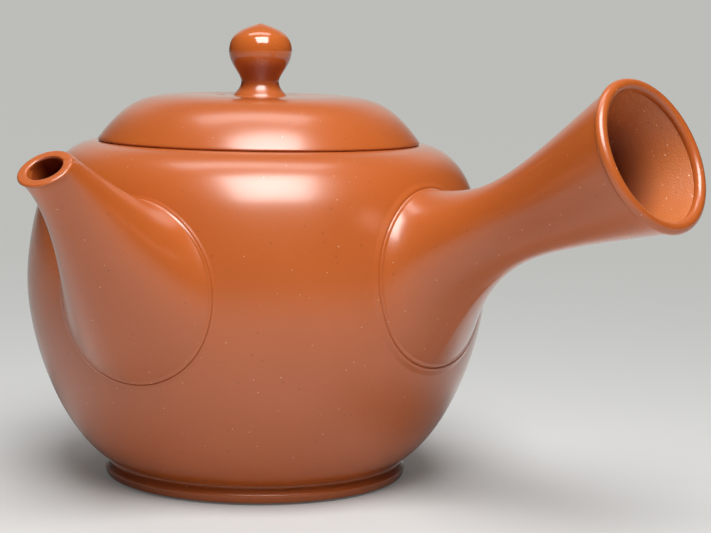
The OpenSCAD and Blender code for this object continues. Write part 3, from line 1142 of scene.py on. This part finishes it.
# Floor of pale paper, which goes over into the even backdrop away from the pot
BACKDROP = (0.508, 0.513, 0.485, 1)
PAPER = (0.59, 0.587, 0.577, 1)
PAPER_BOUNCE = (0.72, 0.715, 0.7, 1)
PAPER_NEAR = (0.695, 0.695, 0.68, 1)
PAPER_FADE = 0.25
NEAR_FADE = 0.35
FLOOR_W = 12


def along_axis(tree, vector, way):
    """How far a vector reaches along one way of the studio."""
    along = node(tree, "VectorMath", operation="DOT_PRODUCT")
    wire(tree, vector, along.inputs[0])
    along.inputs[1].default_value = studio @ Vector(way)
    return along.outputs["Value"]


deselect_all()
bpy.ops.mesh.primitive_plane_add(size=FLOOR_W)
floor = bpy.context.object
floor.name = "floor"
paper = bpy.data.materials.new("paper")
paper.use_nodes = True
tree = paper.node_tree
path = node(tree, "LightPath").outputs
paper_shader = tree.nodes["Principled BSDF"]
paper_tone = blend(tree, path["Is Diffuse Ray"], PAPER, PAPER_BOUNCE)
wire(tree, paper_tone, paper_shader.inputs["Base Color"])
paper_shader.inputs["Roughness"].default_value = 0.9
paper_shader.inputs["Specular IOR Level"].default_value = 0.1
place = node(tree, "TexCoord").outputs["Object"]
distance = node(tree, "VectorMath", operation="LENGTH")
wire(tree, place, distance.inputs[0])
from_pot = distance.outputs["Value"]
fade = number(tree, "EXPONENT", number(tree, "MULTIPLY", from_pot, -1 / PAPER_FADE))
fade = number(tree, "SUBTRACT", 1.0, fade)
# Painted light: the glowing paper is brighter near the pot, where the lamps would light it more
near = number(tree, "EXPONENT", number(tree, "MULTIPLY", from_pot, -1 / NEAR_FADE))
far = node(tree, "Emission")
wire(tree, blend(tree, near, BACKDROP, PAPER_NEAR), far.inputs["Color"])
seen = number(tree, "MAXIMUM", path["Is Glossy Ray"], path["Is Transmission Ray"])
seen = number(tree, "MAXIMUM", path["Is Camera Ray"], seen)
mixed = node(tree, "MixShader")
wire(tree, number(tree, "MULTIPLY", fade, seen), mixed.inputs[0])
wire(tree, paper_shader.outputs[0], mixed.inputs[1])
wire(tree, far.outputs[0], mixed.inputs[2])

# As the clay sees it, the paper is dimmed close to the pot and far to its left: a painted shadow of the
# pot and painted shade of the room, in the clay's reflections and bounce light.
# Each dimming has its limits in millimetres and its strength at both
GLOSS_RIGHT = (20, 45, 0, 1)
GLOSS_RIGHT_NEAR = (60, 80, 0.6, 0)
GLOSS_LEFT = (-50, -25, 1, 0)
GLOSS_LEFT_NEAR = (80, 105, 0.72, 0.3)
GLOSS_LEFT_BACK = (0, 55, 0.08, 1)
GLOSS_FAR_LEFT = (-900, -300, 0.68, 0)
GLOSS_UNDER = (34, 66, 0.48, 0)
BOUNCE_RIGHT = (50, 130, 0, 0.08)
BOUNCE_UNDER = (32, 48, 0.24, 0)


def dimming(value, limits):
    low, high, at_low, at_high = limits
    return spread(tree, value, low * MM, high * MM, at_low, at_high)


aside = along_axis(tree, place, (1, 0, 0))
back = along_axis(tree, place, (0, 1, 0))
right_near = dimming(from_pot, GLOSS_RIGHT_NEAR)
right_side = number(tree, "MULTIPLY", dimming(aside, GLOSS_RIGHT), right_near)
left_near = dimming(from_pot, GLOSS_LEFT_NEAR)
left_side = number(tree, "MULTIPLY", dimming(aside, GLOSS_LEFT), left_near)
left_side = number(tree, "MULTIPLY", left_side, dimming(back, GLOSS_LEFT_BACK))
left_side = number(tree, "MAXIMUM", left_side, dimming(aside, GLOSS_FAR_LEFT))
in_gloss = number(tree, "ADD", right_side, left_side)
in_gloss = number(tree, "MAXIMUM", in_gloss, dimming(from_pot, GLOSS_UNDER))
in_gloss = number(tree, "MULTIPLY", in_gloss, path["Is Glossy Ray"])
bounced = number(tree, "MAXIMUM", dimming(aside, BOUNCE_RIGHT), dimming(from_pot, BOUNCE_UNDER))
bounced = number(tree, "MULTIPLY", bounced, path["Is Diffuse Ray"])
# Painted shadow: where the clay's rays are dimmed, the paper shows black
dark = node(tree, "Emission")
dark.inputs["Strength"].default_value = 0.0
dimmed = node(tree, "MixShader")
wire(tree, number(tree, "ADD", in_gloss, bounced), dimmed.inputs[0])
wire(tree, mixed.outputs[0], dimmed.inputs[1])
wire(tree, dark.outputs[0], dimmed.inputs[2])
wire(tree, dimmed.outputs[0], tree.nodes["Material Output"].inputs["Surface"])
floor.data.materials.append(paper)

# Room: a pale backdrop behind the pot, weaker high up, and dark to the sides and on the camera's side.
# The limits are parts of a ray's length along the studio's ways
ROOM_DARK = (0.02, 0.02, 0.02, 1)
BACKDROP_SIDES = (0.16, 0.4)
BACKDROP_LEAN = 0.45
BACKDROP_TOP = (0.45, 0.7)
BACKDROP_ABOVE = 0.2
world = bpy.data.worlds.new("studio")
bpy.context.scene.world = world
world.use_nodes = True
tree = world.node_tree
sky = tree.nodes["Background"]
ray = node(tree, "TexCoord").outputs["Generated"]
upward = along_axis(tree, ray, (0, 0, 1))
wide = number(tree, "ABSOLUTE", along_axis(tree, ray, (1, 0, 0)))
wide = number(tree, "SUBTRACT", wide, number(tree, "MULTIPLY", upward, BACKDROP_LEAN))
sideways = spread(tree, wide, *BACKDROP_SIDES, 1, 0)
height = spread(tree, upward, *BACKDROP_TOP, 1, BACKDROP_ABOVE)
behind = number(tree, "GREATER_THAN", along_axis(tree, ray, (0, 1, 0)), 0.0)
behind = number(tree, "MULTIPLY", behind, number(tree, "MULTIPLY", sideways, height))
room = blend(tree, behind, ROOM_DARK, BACKDROP)
seen = node(tree, "LightPath").outputs["Is Camera Ray"]
wire(tree, blend(tree, seen, room, BACKDROP), sky.inputs["Color"])
sky.inputs["Strength"].default_value = 1.0

bpy.context.scene.view_settings.view_transform = "Standard"
